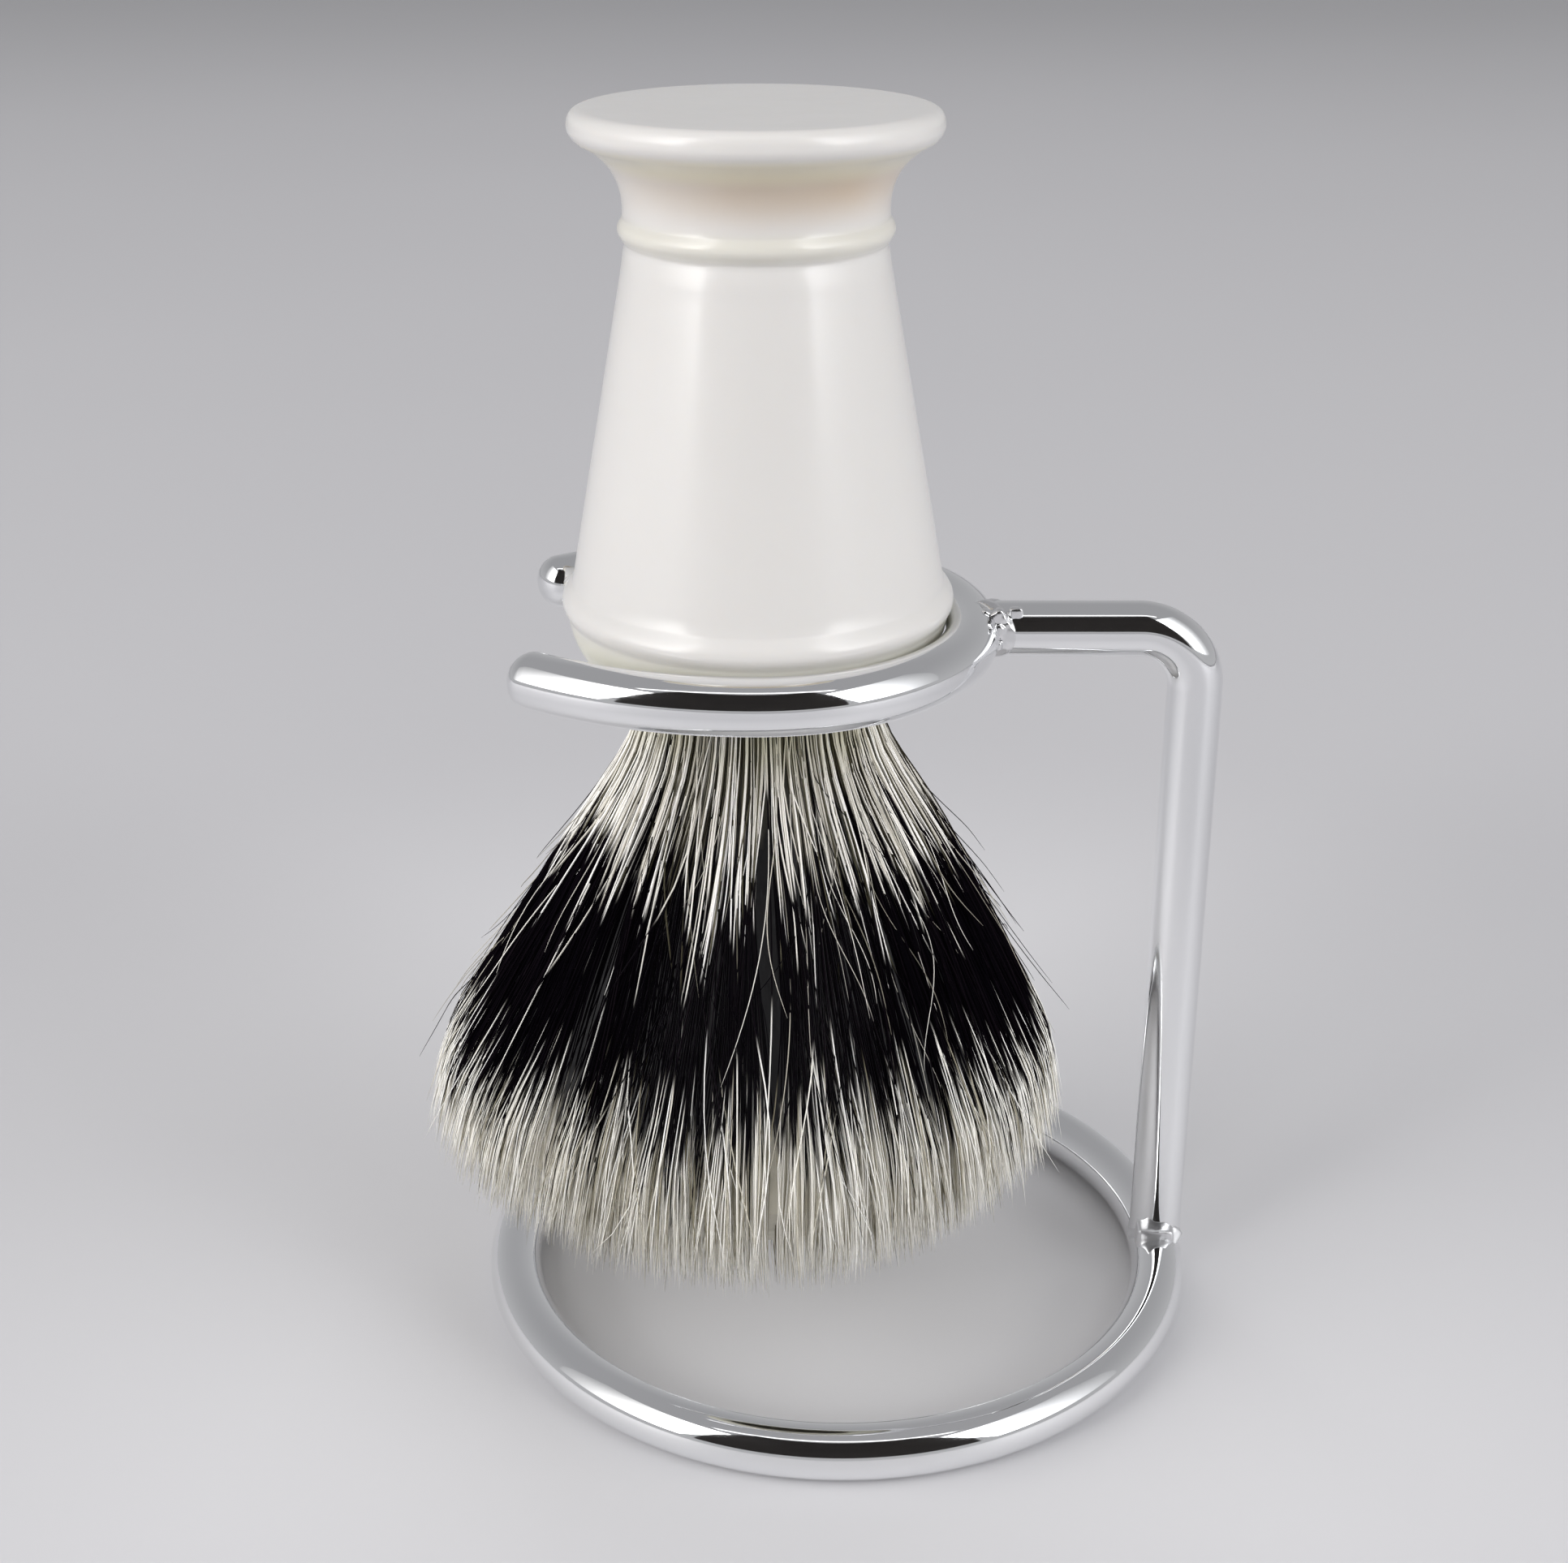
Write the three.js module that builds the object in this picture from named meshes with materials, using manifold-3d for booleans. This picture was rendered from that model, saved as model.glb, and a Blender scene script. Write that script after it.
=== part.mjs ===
// A shaving brush hung tuft down in its own chromed wire stand.
// Millimetres, +Z up. The origin is on the table, under the middle of the whole object.
import * as THREE from 'three';
import { mergeVertices } from 'three/addons/utils/BufferGeometryUtils.js';
import Module from 'manifold-3d';

const wasm = await Module();
wasm.setup();

// ---- Driving dimensions ----

const GAP = 0.3; // between pieces that touch on the real object

// Stand
const WIRE_DIAMETER = 5;
const FORK_HEIGHT = 68; // centre of the fork's wire above the table
const FORK_RADIUS = 19.1; // centreline of the fork's closed half
const ARM_RADIUS = 32.7; // centreline of the fork's two gently bent arms
const ARM_REACH = 18.8; // how far the arms run past the brush axis
const TIP_LENGTH = 2.2; // rounded end of each arm
const RING_RADIUS = 32; // centreline of the base ring
const RING_OFFSET = 7.5; // from the brush axis to the ring's centre, towards the post
const POST_BEND = 5.5; // centreline radius of the bend between post and arm
const WELD_LENGTH = 2.4;
const WELD_THICK_END = 0.5; // how far a weld bead stands out at the joint
const WELD_THIN_END = 0.2;

// Handle: heights are above the centre of the fork's wire
const FOOT_TOP = 45.4;
const FOOT_RADIUS = 15.6;
const FOOT_FLAT_RADIUS = 14.2;
const FOOT_WIDEST = 44;
const FOOT_UNDERSIDE = 42.8;
const FOOT_UNDERSIDE_RADIUS = 14.9;
const COVE_TOP = 41;
const COVE_BOTTOM = 37.3;
const NECK_RADIUS = 11.2;
const UPPER_BEAD_HEIGHT = 35.6;
const UPPER_BEAD_RISE = 0.4;
const LOWER_BEAD_HEIGHT = 3.5;
const LOWER_BEAD_RISE = 0.7;
const BEAD_HALF_HEIGHT = 1.2;
const CONE_RADIUS = 16.75; // at the cone's wide end, on the lower bead
const BOWL_RADIUS = 16.6; // under the lower bead
const BOWL_CORNER = new THREE.Vector2(16.2, -3);
const MOUTH_RADIUS = 11.4;
const MOUTH_HEIGHT = -4.5;

// Knot
const KNOT_RADIUS = 10;
const SOCKET_DEPTH = 12;
const GLUE_THICKNESS = 1;
const PLUG_LENGTH = 7.4;
const BINDING_TURNS = 4;
const THREAD_RADIUS = 0.3;
const TUFT_ROOT_RADIUS = 9.7;
const TUFT_FREE = -6.2; // the hair starts to fan out here
const TUFT_RADIUS = 29.7;
const TUFT_WIDEST = -47.8;
const TUFT_TIP = -61.6;
const TUFT_DOME_POWER = 2.5;

// Facets
const SECTION_SIDES = 12;
const RING_SEGMENTS = 60;
const TURNED_SEGMENTS = 40;
const WELD_SEGMENTS = 24;
const POST_STEPS = 48;
const FORK_STEPS = 60;

// ---- Derived places ----

const WIRE_RADIUS = WIRE_DIAMETER / 2;
const SOCKET_RADIUS = KNOT_RADIUS + GAP;
const SOCKET_FLOOR = MOUTH_HEIGHT + SOCKET_DEPTH;
const GLUE_TOP = SOCKET_FLOOR - GAP;
const PLUG_TOP = GLUE_TOP - GLUE_THICKNESS - GAP;
const PLUG_BOTTOM = PLUG_TOP - PLUG_LENGTH;
const TUFT_ROOT = PLUG_BOTTOM - GAP;
const BINDING_HALF_HEIGHT = BINDING_TURNS * THREAD_RADIUS;
const BINDING_HEIGHT = PLUG_BOTTOM + 2 * BINDING_HALF_HEIGHT;
const BINDING_RADIUS = KNOT_RADIUS - THREAD_RADIUS;
const ARM_TURN = Math.asin(ARM_REACH / ARM_RADIUS);
const ARM_CENTRE = ARM_RADIUS - FORK_RADIUS;
const ARM_END = FORK_RADIUS + WIRE_RADIUS + GAP;
const POST_X = RING_OFFSET + RING_RADIUS;
const WELD_BORE = WIRE_RADIUS + GAP;
const WELD_RADIUS = WELD_BORE + WELD_THICK_END;
const BRUSH_X = (TUFT_RADIUS - POST_X - WELD_RADIUS) / 2; // centres the whole object on X = 0

const QUARTER_TURN = Math.PI / 2;
const FULL_TURN = Math.PI * 2;

// ---- Helpers ----

function point(radius, height) {
  return new THREE.Vector2(radius, height);
}

// Turns a profile of radius and height about +Z. The profile runs from its low end round to its top.
function turned(profile, segments = TURNED_SEGMENTS) {
  const geometry = new THREE.LatheGeometry(profile, segments);
  geometry.rotateX(QUARTER_TURN);
  return geometry;
}

// A rounded stretch of a profile, without its first point.
function rounded(start, corner, end, count) {
  return new THREE.QuadraticBezierCurve(start, corner, end).getPoints(count).slice(1);
}

// A half-round bead on a profile, from its lower edge to its upper edge.
function bead(height, rise, lowerRadius, upperRadius) {
  const count = 6;
  const points = [];
  for (let i = 0; i <= count; i += 1) {
    const angle = Math.PI * (i / count - 0.5);
    const base = THREE.MathUtils.lerp(lowerRadius, upperRadius, i / count);
    points.push(point(base + rise * Math.cos(angle), height + BEAD_HALF_HEIGHT * Math.sin(angle)));
  }
  return points;
}

// The wire's section: a polygon with a flat side down, and its flat sides on the true circle.
function wireSection() {
  const corner = WIRE_RADIUS / Math.cos(Math.PI / SECTION_SIDES);
  const points = [];
  for (let i = 0; i < SECTION_SIDES; i += 1) {
    const angle = FULL_TURN * (i + 0.5) / SECTION_SIDES;
    points.push(point(corner * Math.cos(angle), corner * Math.sin(angle)));
  }
  return points;
}

// The wire swept along a flat path. place puts each of the path's points where it is in space.
function bentWire(path, steps, place) {
  return new THREE.ExtrudeGeometry(new THREE.Shape(wireSection()), {
    steps,
    extrudePath: new THREE.CatmullRomCurve3(path.getSpacedPoints(steps).map(place)),
    bevelEnabled: false,
  });
}

function toSolid(geometry) {
  const bare = geometry.clone();
  bare.deleteAttribute('normal');
  bare.deleteAttribute('uv');
  const merged = mergeVertices(bare, 1e-4);
  return new wasm.Manifold(new wasm.Mesh({
    numProp: 3,
    vertProperties: merged.attributes.position.array,
    triVerts: merged.index.array,
  }));
}

function fromSolid(solid) {
  const { vertProperties, triVerts } = solid.getMesh();
  const geometry = new THREE.BufferGeometry();
  geometry.setAttribute('position', new THREE.BufferAttribute(vertProperties, 3));
  geometry.setIndex(new THREE.BufferAttribute(triVerts, 1));
  geometry.computeVertexNormals();
  return geometry;
}

function piece(name, geometry, color, roughness, metalness) {
  const mesh = new THREE.Mesh(geometry, new THREE.MeshStandardMaterial({ color, roughness, metalness }));
  mesh.name = name;
  return mesh;
}

function chromePiece(name, geometry) {
  return piece(name, geometry, 0xdadcdf, 0.08, 1);
}

// ---- Stand pieces, placed from the table and the brush axis ----

// One length of wire rolled into a ring. The stand rests on its flat underside.
function baseRing() {
  const section = wireSection().map((corner) => point(RING_RADIUS + corner.x, WIRE_RADIUS + corner.y));
  section.push(section[0].clone());
  const mesh = chromePiece('base_ring', turned(section, RING_SEGMENTS));
  mesh.position.x = RING_OFFSET;
  return mesh;
}

// The upright, its top bend and the short level arm are one wire.
function postArm() {
  const path = new THREE.Path();
  path.moveTo(POST_X, WIRE_DIAMETER + GAP);
  path.lineTo(POST_X, FORK_HEIGHT - POST_BEND);
  path.absarc(POST_X - POST_BEND, FORK_HEIGHT - POST_BEND, POST_BEND, 0, QUARTER_TURN, false);
  path.lineTo(ARM_END, FORK_HEIGHT);
  const upright = (flat) => new THREE.Vector3(flat.x, 0, flat.y);
  return chromePiece('post_arm', bentWire(path, POST_STEPS, upright));
}

// The rounded end of an arm, made about +Z and reaching a little way back inside the wire.
function wireTip() {
  const overlap = 1;
  const radius = WIRE_RADIUS * 0.985;
  const count = 5;
  const profile = [point(0, -overlap), point(radius, -overlap)];
  for (let i = 0; i < count; i += 1) {
    const angle = QUARTER_TURN * i / count;
    profile.push(point(radius * Math.cos(angle), TIP_LENGTH * Math.sin(angle)));
  }
  profile.push(point(0, TIP_LENGTH));
  return turned(profile, SECTION_SIDES);
}

// The open cradle: half a circle round the brush, and two arms that run on past it and close in a little.
function fork() {
  const path = new THREE.Path();
  path.absarc(0, ARM_CENTRE, ARM_RADIUS, -QUARTER_TURN - ARM_TURN, -QUARTER_TURN, false);
  path.absarc(0, 0, FORK_RADIUS, -QUARTER_TURN, QUARTER_TURN, false);
  path.absarc(0, -ARM_CENTRE, ARM_RADIUS, QUARTER_TURN, QUARTER_TURN + ARM_TURN, false);
  const level = (flat) => new THREE.Vector3(flat.x, flat.y, 0);
  const armEndY = ARM_RADIUS * Math.cos(ARM_TURN) - ARM_CENTRE;
  let solid = toSolid(bentWire(path, FORK_STEPS, level));
  for (const side of [-1, 1]) {
    const tip = wireTip();
    tip.rotateY(QUARTER_TURN);
    tip.rotateZ(Math.PI + side * ARM_TURN);
    tip.translate(-ARM_REACH, side * armEndY, 0);
    solid = solid.add(toSolid(tip));
  }
  const mesh = chromePiece('fork', fromSolid(solid));
  mesh.position.z = FORK_HEIGHT;
  return mesh;
}

// A bead of weld round the end of a wire. Its thick end is at height 0, where the wires meet.
function weldBead() {
  const thin = WELD_BORE + WELD_THIN_END;
  const shoulder = point(WELD_RADIUS, WELD_LENGTH / 4);
  return turned([
    point(WELD_BORE, 0),
    point(WELD_RADIUS, 0),
    shoulder,
    ...rounded(shoulder, point(thin, WELD_LENGTH / 2), point(thin, WELD_LENGTH), 3),
    point(WELD_BORE, WELD_LENGTH),
    point(WELD_BORE, 0),
  ], WELD_SEGMENTS);
}

function forkWeld() {
  const mesh = chromePiece('fork_weld', weldBead());
  mesh.rotation.y = QUARTER_TURN;
  mesh.position.set(ARM_END, 0, FORK_HEIGHT);
  return mesh;
}

function baseWeld() {
  const mesh = chromePiece('base_weld', weldBead());
  mesh.position.set(POST_X, 0, WIRE_DIAMETER + GAP);
  return mesh;
}

// ---- Brush pieces, turned about the brush axis at heights above the fork's wire ----

// The handle hangs foot up: socket and mouth, bowl, lower bead, cone, upper bead, cove and foot.
function handle() {
  const mouth = point(MOUTH_RADIUS, MOUTH_HEIGHT);
  const bowlTop = point(BOWL_RADIUS, LOWER_BEAD_HEIGHT - BEAD_HALF_HEIGHT);
  const coveBottom = point(NECK_RADIUS, COVE_BOTTOM);
  const underside = point(FOOT_UNDERSIDE_RADIUS, FOOT_UNDERSIDE);
  const rim = point(FOOT_RADIUS, FOOT_WIDEST);
  const footFlat = point(FOOT_FLAT_RADIUS, FOOT_TOP);
  const rimCorner = point(FOOT_RADIUS, (FOOT_UNDERSIDE + FOOT_WIDEST) / 2);
  return piece('handle', turned([
    point(0, SOCKET_FLOOR),
    point(SOCKET_RADIUS, SOCKET_FLOOR),
    point(SOCKET_RADIUS, MOUTH_HEIGHT),
    mouth,
    ...rounded(mouth, BOWL_CORNER, bowlTop, 7).slice(0, -1),
    ...bead(LOWER_BEAD_HEIGHT, LOWER_BEAD_RISE, BOWL_RADIUS, CONE_RADIUS),
    ...bead(UPPER_BEAD_HEIGHT, UPPER_BEAD_RISE, NECK_RADIUS, NECK_RADIUS),
    coveBottom,
    ...rounded(coveBottom, point(NECK_RADIUS, COVE_TOP), underside, 6),
    ...rounded(underside, rimCorner, rim, 3),
    ...rounded(rim, point(FOOT_RADIUS, FOOT_TOP), footFlat, 4),
    point(0, FOOT_TOP),
  ]), 0xf5f2ee, 0.18, 0);
}

// The disc of adhesive that beds the knot on the socket's floor.
function settingGlue() {
  const bottom = GLUE_TOP - GLUE_THICKNESS;
  return piece('setting_glue', turned([
    point(0, bottom),
    point(KNOT_RADIUS, bottom),
    point(KNOT_RADIUS, GLUE_TOP),
    point(0, GLUE_TOP),
  ]), 0xd9c9a0, 0.35, 0);
}

// The roots of the hair set hard in resin, with a waist for the binding.
function knotPlug() {
  const waist = BINDING_RADIUS - THREAD_RADIUS - GAP;
  const waistHalf = BINDING_HALF_HEIGHT + GAP;
  const edge = 0.6;
  return piece('knot_plug', turned([
    point(0, PLUG_BOTTOM),
    point(KNOT_RADIUS, PLUG_BOTTOM),
    point(KNOT_RADIUS, BINDING_HEIGHT - waistHalf),
    point(waist, BINDING_HEIGHT - waistHalf),
    point(waist, BINDING_HEIGHT + waistHalf),
    point(KNOT_RADIUS, BINDING_HEIGHT + waistHalf),
    point(KNOT_RADIUS, PLUG_TOP - edge),
    point(KNOT_RADIUS - edge, PLUG_TOP),
    point(0, PLUG_TOP),
  ]), 0x8a7748, 0.5, 0);
}

// The cord that ties the hair into a bundle: close turns that show as a row of half-round ribs.
function knotBinding() {
  const ribSteps = 3;
  const bottom = BINDING_HEIGHT - BINDING_HALF_HEIGHT;
  const inside = BINDING_RADIUS - THREAD_RADIUS;
  const profile = [point(inside, bottom)];
  for (let turn = 0; turn < BINDING_TURNS; turn += 1) {
    const middle = bottom + (2 * turn + 1) * THREAD_RADIUS;
    for (let i = turn === 0 ? 0 : 1; i <= ribSteps; i += 1) {
      const angle = Math.PI * (i / ribSteps - 0.5);
      profile.push(point(
        BINDING_RADIUS + THREAD_RADIUS * Math.cos(angle),
        middle + THREAD_RADIUS * Math.sin(angle),
      ));
    }
  }
  profile.push(point(inside, bottom + 2 * BINDING_HALF_HEIGHT), profile[0].clone());
  return piece('knot_binding', turned(profile), 0xe9e4d6, 0.8, 0);
}

// The whole fan of hair as one soft solid: a neck, flaring sides and a domed end.
function hairTuft() {
  const domeSteps = 8;
  const sideSteps = 10;
  const profile = [];
  for (let i = 0; i < domeSteps; i += 1) {
    const share = i / domeSteps;
    const height = THREE.MathUtils.lerp(TUFT_TIP, TUFT_WIDEST, share ** TUFT_DOME_POWER);
    profile.push(point(TUFT_RADIUS * share, height));
  }
  const sides = new THREE.SplineCurve([
    point(TUFT_RADIUS, TUFT_WIDEST),
    point(28, -40.3),
    point(23.9, -32.7),
    point(17, -20),
    point(11.5, -10.9),
    point(KNOT_RADIUS, TUFT_FREE),
  ]);
  profile.push(...sides.getSpacedPoints(sideSteps), point(TUFT_ROOT_RADIUS, TUFT_ROOT), point(0, TUFT_ROOT));
  return piece('hair_tuft', turned(profile), 0xcfc9bd, 0.7, 0);
}

// ---- Assembly ----

const stand = new THREE.Group();
stand.add(baseRing(), baseWeld(), postArm(), forkWeld(), fork());

const brush = new THREE.Group();
brush.position.z = FORK_HEIGHT;
brush.add(handle(), settingGlue(), knotPlug(), knotBinding(), hairTuft());

const assembly = new THREE.Group();
assembly.position.x = BRUSH_X;
assembly.add(stand, brush);

export default assembly;
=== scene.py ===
"""The looks of a shaving brush that hangs tuft down in its chrome wire stand.

Lengths named in this file are in millimetres and turn into metres where objects and materials are made.
Heights of the brush's own shapes are above the centre of the fork's wire, on the brush axis, and depths
are below it.
"""

import math
from types import SimpleNamespace

import bmesh
import bpy
import numpy as np
from mathutils import Matrix, Vector, noise


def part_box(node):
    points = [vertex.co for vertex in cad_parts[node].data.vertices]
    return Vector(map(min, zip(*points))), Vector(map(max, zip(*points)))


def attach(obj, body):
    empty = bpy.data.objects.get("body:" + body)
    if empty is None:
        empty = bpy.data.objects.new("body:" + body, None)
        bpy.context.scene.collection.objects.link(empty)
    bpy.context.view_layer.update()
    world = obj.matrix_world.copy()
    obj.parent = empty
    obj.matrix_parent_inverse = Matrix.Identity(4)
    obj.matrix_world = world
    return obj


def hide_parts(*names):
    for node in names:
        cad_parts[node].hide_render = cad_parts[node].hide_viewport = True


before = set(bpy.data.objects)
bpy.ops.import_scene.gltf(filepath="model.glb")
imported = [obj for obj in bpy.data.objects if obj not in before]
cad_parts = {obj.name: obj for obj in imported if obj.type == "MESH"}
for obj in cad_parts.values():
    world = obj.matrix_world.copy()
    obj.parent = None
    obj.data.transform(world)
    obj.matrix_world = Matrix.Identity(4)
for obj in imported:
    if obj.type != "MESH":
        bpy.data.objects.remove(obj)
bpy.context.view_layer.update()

MM = 0.001
QUARTER_TURN, FULL_TURN = math.pi / 2, 2 * math.pi
UP, BACK, RIGHT = (0, 0, 1), (0, 1, 0), (1, 0, 0)
RNG = np.random.default_rng(11)


# ---- Places, from the frame ----

def box_mm(node):
    low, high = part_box(node)
    return np.array(low) / MM, np.array(high) / MM


HANDLE_LOW, HANDLE_HIGH = box_mm("handle")
RING_LOW, RING_HIGH = box_mm("base_ring")
FORK_LOW, FORK_HIGH = box_mm("fork")
POST_RIGHT = box_mm("post_arm")[1][0]
TUFT_LOW, TUFT_HIGH = box_mm("hair_tuft")

AXIS_X = (HANDLE_LOW[0] + HANDLE_HIGH[0]) / 2
WIRE_RADIUS = (RING_HIGH[2] - RING_LOW[2]) / 2
RING_X = (RING_LOW[0] + RING_HIGH[0]) / 2
RING_RADIUS = (RING_HIGH[1] - RING_LOW[1]) / 2 - WIRE_RADIUS
FORK_Z = (FORK_LOW[2] + FORK_HIGH[2]) / 2
FORK_RADIUS = (FORK_HIGH[1] - FORK_LOW[1]) / 2 - WIRE_RADIUS
POST_X = POST_RIGHT - WIRE_RADIUS
FOOT_TOP = HANDLE_HIGH[2] - FORK_Z
MOUTH_HEIGHT = HANDLE_LOW[2] - FORK_Z
TUFT_RADIUS = (TUFT_HIGH[1] - TUFT_LOW[1]) / 2
TUFT_DEPTH = FORK_Z - TUFT_LOW[2]

# Shapes that the boxes can't say, as in the CAD source
ARM_RADIUS = 32.7
ARM_REACH = 18.8
TIP_LENGTH = 2.2
POST_BEND = 5.5
POST_START = 1.6 * WIRE_RADIUS


def linked(name, data):
    """An object of the scene for a mesh, a camera or a light."""
    obj = bpy.data.objects.new(name, data)
    bpy.context.scene.collection.objects.link(obj)
    return obj


# ---- Camera, first ----

CAMERA_DISTANCE = 198.2
CAMERA_OFFSET = 2.3
CAMERA_RISE = 71.2
CAMERA_PITCH = math.radians(23.5)
CAMERA_LENS = 53.84
CAMERA_NEAREST = 10


def make_camera():
    data = bpy.data.cameras.new("camera")
    data.lens = CAMERA_LENS
    data.clip_start = CAMERA_NEAREST * MM
    camera = linked("camera", data)
    place = (AXIS_X + CAMERA_OFFSET, -CAMERA_DISTANCE, FORK_Z + CAMERA_RISE)
    camera.location = [c * MM for c in place]
    camera.rotation_euler = (QUARTER_TURN - CAMERA_PITCH, 0, 0)
    bpy.context.scene.camera = camera


make_camera()


# ---- Materials ----

RANGE_SOCKETS = ("From Min", "From Max", "To Min", "To Max")


class Nodes:
    """Builds one material's node tree with short calls. Values may be numbers, colours or sockets."""

    def __init__(self, name):
        self.material = bpy.data.materials.new(name)
        self.material.use_nodes = True
        self.tree = self.material.node_tree
        self.shader = self.tree.nodes["Principled BSDF"]

    def put(self, socket, value):
        if isinstance(value, bpy.types.NodeSocket):
            self.tree.links.new(value, socket)
        elif isinstance(value, tuple) and len(value) == 3 and socket.type == "RGBA":
            socket.default_value = (*value, 1)
        else:
            socket.default_value = value

    def shade(self, **values):
        for name, value in values.items():
            self.put(self.shader.inputs[name.replace("_", " ")], value)

    def place(self):
        return self.tree.nodes.new("ShaderNodeTexCoord").outputs["Object"]

    def stretched(self, scale):
        node = self.tree.nodes.new("ShaderNodeMapping")
        self.put(node.inputs["Vector"], self.place())
        self.put(node.inputs["Scale"], scale)
        return node.outputs["Vector"]

    def attribute(self, name):
        node = self.tree.nodes.new("ShaderNodeAttribute")
        node.attribute_name = name
        return node.outputs["Fac"]

    def noise(self, scale, detail, vector=None):
        """Noise from 0 to 1, with scale features a metre."""
        node = self.tree.nodes.new("ShaderNodeTexNoise")
        self.put(node.inputs["Vector"], self.place() if vector is None else vector)
        self.put(node.inputs["Scale"], scale)
        self.put(node.inputs["Detail"], detail)
        return node.outputs["Fac"]

    def maths(self, operation, a, b):
        node = self.tree.nodes.new("ShaderNodeMath")
        node.operation = operation
        self.put(node.inputs[0], a)
        self.put(node.inputs[1], b)
        return node.outputs[0]

    def times(self, a, b):
        return self.maths("MULTIPLY", a, b)

    def spread(self, value, low, high, to_low=0.0, to_high=1.0, smooth=False):
        """The stretch of a value from low to high, clipped and spread over to_low to to_high."""
        node = self.tree.nodes.new("ShaderNodeMapRange")
        node.interpolation_type = "SMOOTHSTEP" if smooth else "LINEAR"
        for name, number in zip(RANGE_SOCKETS, (low, high, to_low, to_high)):
            self.put(node.inputs[name], number)
        self.put(node.inputs["Value"], value)
        return node.outputs["Result"]

    def mix(self, share, a, b, blend="MIX"):
        node = self.tree.nodes.new("ShaderNodeMix")
        node.data_type = "RGBA"
        node.blend_type = blend
        self.put(node.inputs["Factor"], share)
        self.put(node.inputs["A"], a)
        self.put(node.inputs["B"], b)
        return node.outputs["Result"]

    def ramp(self, value, stops):
        node = self.tree.nodes.new("ShaderNodeValToRGB")
        elements = node.color_ramp.elements
        while len(elements) < len(stops):
            elements.new(0.5)
        for element, (position, colour) in zip(elements, stops):
            element.position = position
            element.color = (*colour, 1)
        self.put(node.inputs["Fac"], value)
        return node.outputs["Color"]

    def part_of_place(self, axis):
        node = self.tree.nodes.new("ShaderNodeSeparateXYZ")
        self.put(node.inputs[0], self.place())
        return node.outputs[axis]

    def above_fork(self, start, end, to_low=0.0, to_high=1.0):
        """A soft change from one height of the brush to another. Heights may run down."""
        low, high = (FORK_Z + start) * MM, (FORK_Z + end) * MM
        return self.spread(self.part_of_place("Z"), low, high, to_low, to_high, smooth=True)

    def distance(self):
        node = self.tree.nodes.new("ShaderNodeVectorMath")
        node.operation = "LENGTH"
        self.put(node.inputs[0], self.place())
        return node.outputs["Value"]

    def bump(self, height, distance, strength):
        node = self.tree.nodes.new("ShaderNodeBump")
        self.put(node.inputs["Height"], height)
        self.put(node.inputs["Distance"], distance)
        self.put(node.inputs["Strength"], strength)
        self.put(self.shader.inputs["Normal"], node.outputs["Normal"])


def chrome_material():
    n = Nodes("polished_chrome")
    n.shade(
        Base_Color=n.mix(n.noise(60, 2), (0.86, 0.87, 0.88), (0.93, 0.93, 0.94)),
        Metallic=1.0,
        Roughness=n.spread(n.noise(220, 4), 0.35, 0.75, 0.04, 0.085),
    )
    n.bump(n.noise(420, 2), 0.00002, 0.25)
    return n.material


def weld_material(name, roughness):
    n = Nodes(name)
    n.shade(
        Base_Color=n.mix(n.noise(500, 3), (0.70, 0.70, 0.71), (0.93, 0.93, 0.94)),
        Metallic=1.0,
        Roughness=n.spread(n.noise(800, 4), 0.3, 0.7, roughness, roughness + 0.12),
    )
    n.bump(n.noise(500, 2), 0.0001, 0.2)
    return n.material


# Tints of the handle's zones: lowest and highest height, how far each end fades, strength and colour.
# The bowl's fade runs between two heights and from no tint to its strength
# The cove's tint is the resin's warm tan together with painted shade that darkens the cove under the foot
COVE_TAN_AND_SHADE_ZONE = FOOT_TOP - 9.2, FOOT_TOP - 2.6, 4.2, 1.4, 0.85, (0.50, 0.375, 0.25)
UNDERSIDE_ZONE = FOOT_TOP - 5.0, FOOT_TOP - 2.0, 1.4, 0.8, 0.7, (0.66, 0.61, 0.45)
BEAD_ZONE = FOOT_TOP - 11.4, FOOT_TOP - 8.2, 1.0, 1.0, 0.5, (0.60, 0.58, 0.495)
BOWL_FADE, BOWL_TINT = (3.4, 0.4, 0.0, 0.6), (0.62, 0.61, 0.45)


def resin_material():
    """Ivory resin, its cove under the foot tan from its own tone and painted shade, creamier at the bowl by
    the hair.
    """
    n = Nodes("ivory_resin")

    def tinted(colour, zone, patch=1.0):
        low, high, fade_low, fade_high, strength, tint = zone
        inside = n.times(n.above_fork(low, low + fade_low), n.above_fork(high, high - fade_high))
        return n.mix(n.times(n.times(inside, patch), strength), colour, tint)

    # The cove's painted shade grows towards the right and comes in patches
    left, right = (AXIS_X - 12) * MM, (AXIS_X + 5) * MM
    to_right = n.spread(n.part_of_place("X"), left, right, 0.35, 1.0, smooth=True)
    patch = n.times(to_right, n.spread(n.noise(90, 2), 0.3, 0.7, 0.7, 1.0))
    cloud = n.noise(90, 4, n.stretched((1, 1, 0.5)))
    colour = n.mix(cloud, (0.585, 0.568, 0.55), (0.62, 0.605, 0.587))
    colour = tinted(colour, COVE_TAN_AND_SHADE_ZONE, patch)
    colour = tinted(colour, UNDERSIDE_ZONE)
    colour = tinted(colour, BEAD_ZONE)
    colour = n.mix(n.above_fork(*BOWL_FADE), colour, BOWL_TINT)
    n.shade(
        Base_Color=colour,
        Roughness=n.spread(n.noise(300, 4), 0.3, 0.7, 0.3, 0.38),
        Specular_IOR_Level=0.5,
        Subsurface_Weight=0.1,
        Subsurface_Radius=(0.004, 0.003, 0.002),
        Subsurface_Scale=0.6,
        Coat_Weight=0.8,
        Coat_Roughness=0.16,
    )
    n.bump(n.noise(40, 2, n.stretched((0.02, 0.02, 60))), 0.00001, 0.25)
    return n.material
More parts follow.
